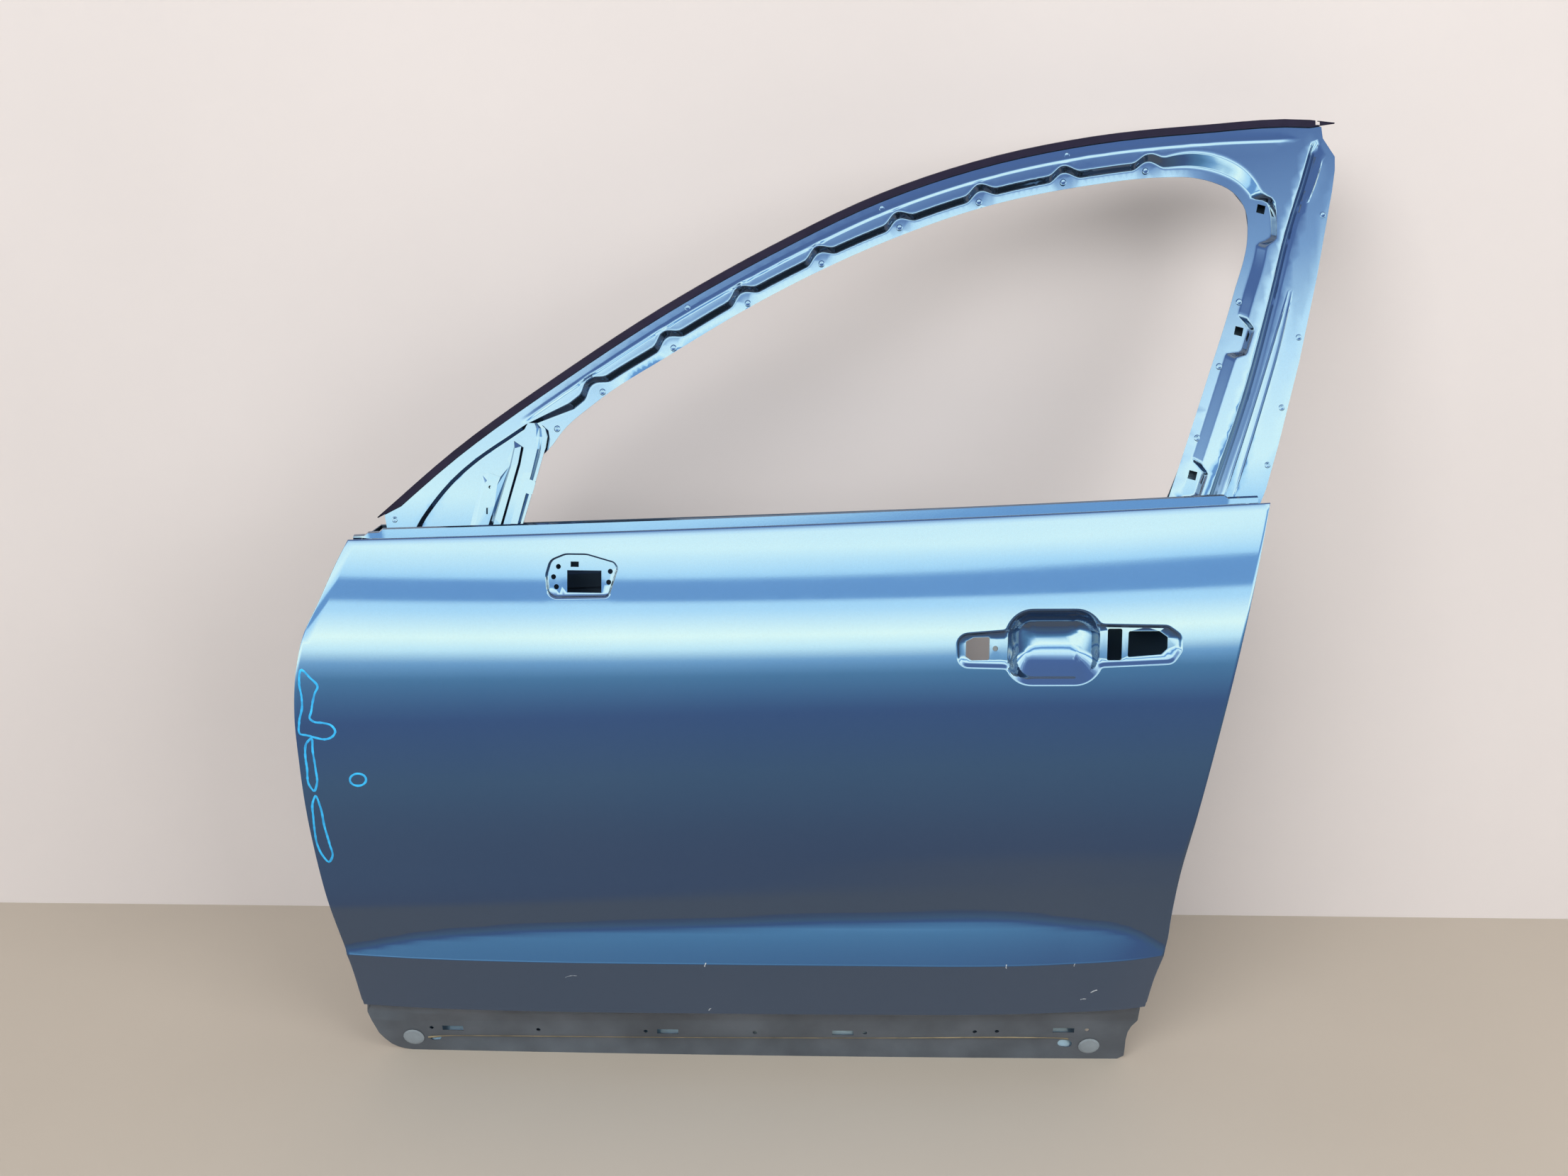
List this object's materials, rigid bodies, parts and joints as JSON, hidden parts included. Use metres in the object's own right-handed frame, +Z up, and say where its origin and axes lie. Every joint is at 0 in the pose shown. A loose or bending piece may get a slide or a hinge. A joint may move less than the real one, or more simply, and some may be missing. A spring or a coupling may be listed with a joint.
{
  "type": "car door shell",
  "caption": "Front left car door shell of pressed and painted steel with its window frame, inner panel, impact beam and reinforcements, stripped of glass, lock, handle and trim.",
  "frame": {"origin": "middle of the bounding box's lowest side, under the sill edge of the door", "axes": "+X to the rear of the car, +Y into the car, +Z up"},
  "size_m": [1.2738, 0.3224, 1.1933],
  "materials": {
    "outer_skin": "blue metallic paint with clear coat, aged",
    "window_frame_outer": "blue metallic paint with clear coat, aged",
    "belt_reinforcement_outer": "blue metallic paint with clear coat, aged",
    "division_channel": "blue metallic paint with clear coat, aged",
    "channel_clip": "blue metallic paint with clear coat, aged",
    "sail_bracket": "blue metallic paint with clear coat, aged",
    "inner_panel": "blue paint, thinner",
    "window_frame_inner": "blue paint, thinner",
    "belt_reinforcement_inner": "blue paint, thinner",
    "sill_extension_panel": "dull grey-blue paint with sealer",
    "roof_seal_retainer": "dark satin",
    "handle_reinforcement": "grey primer",
    "mirror_reinforcement": "grey primer",
    "impact_beam_bracket_front": "grey primer",
    "impact_beam_bracket_rear": "grey primer",
    "impact_beam": "bare steel",
    "check_strap_plate": "bare steel",
    "latch_reinforcement": "bare steel",
    "hinge_reinforcement_upper": "bare steel",
    "hinge_reinforcement_lower": "bare steel",
    "hinge_nut_upper_top": "bare steel",
    "hinge_nut_upper_bottom": "bare steel",
    "hinge_nut_lower_top": "bare steel",
    "hinge_nut_lower_bottom": "bare steel",
    "drain_plug_front": "pale matt",
    "drain_plug_rear": "pale matt",
    "beam_mastic_front": "matt black",
    "beam_mastic_middle": "matt black",
    "beam_mastic_rear": "matt black",
    "damping_sheet": "matt black"
  },
  "bodies": {
    "root": {"outer_skin": "outer_skin", "window_frame_outer": "window_frame_outer", "belt_reinforcement_outer": "belt_reinforcement_outer", "division_channel": "division_channel", "channel_clip": "channel_clip", "sail_bracket": "sail_bracket", "inner_panel": "inner_panel", "window_frame_inner": "window_frame_inner", "belt_reinforcement_inner": "belt_reinforcement_inner", "sill_extension_panel": "sill_extension_panel", "roof_seal_retainer": "roof_seal_retainer", "handle_reinforcement": "handle_reinforcement", "mirror_reinforcement": "mirror_reinforcement", "impact_beam_bracket_front": "impact_beam_bracket_front", "impact_beam_bracket_rear": "impact_beam_bracket_rear", "impact_beam": "impact_beam", "check_strap_plate": "check_strap_plate", "latch_reinforcement": "latch_reinforcement", "hinge_reinforcement_upper": "hinge_reinforcement_upper", "hinge_reinforcement_lower": "hinge_reinforcement_lower", "hinge_nut_upper_top": "hinge_nut_upper_top", "hinge_nut_upper_bottom": "hinge_nut_upper_bottom", "hinge_nut_lower_top": "hinge_nut_lower_top", "hinge_nut_lower_bottom": "hinge_nut_lower_bottom", "drain_plug_front": "drain_plug_front", "drain_plug_rear": "drain_plug_rear", "beam_mastic_front": "beam_mastic_front", "beam_mastic_middle": "beam_mastic_middle", "beam_mastic_rear": "beam_mastic_rear", "damping_sheet": "damping_sheet"}
  },
  "joints": []
}
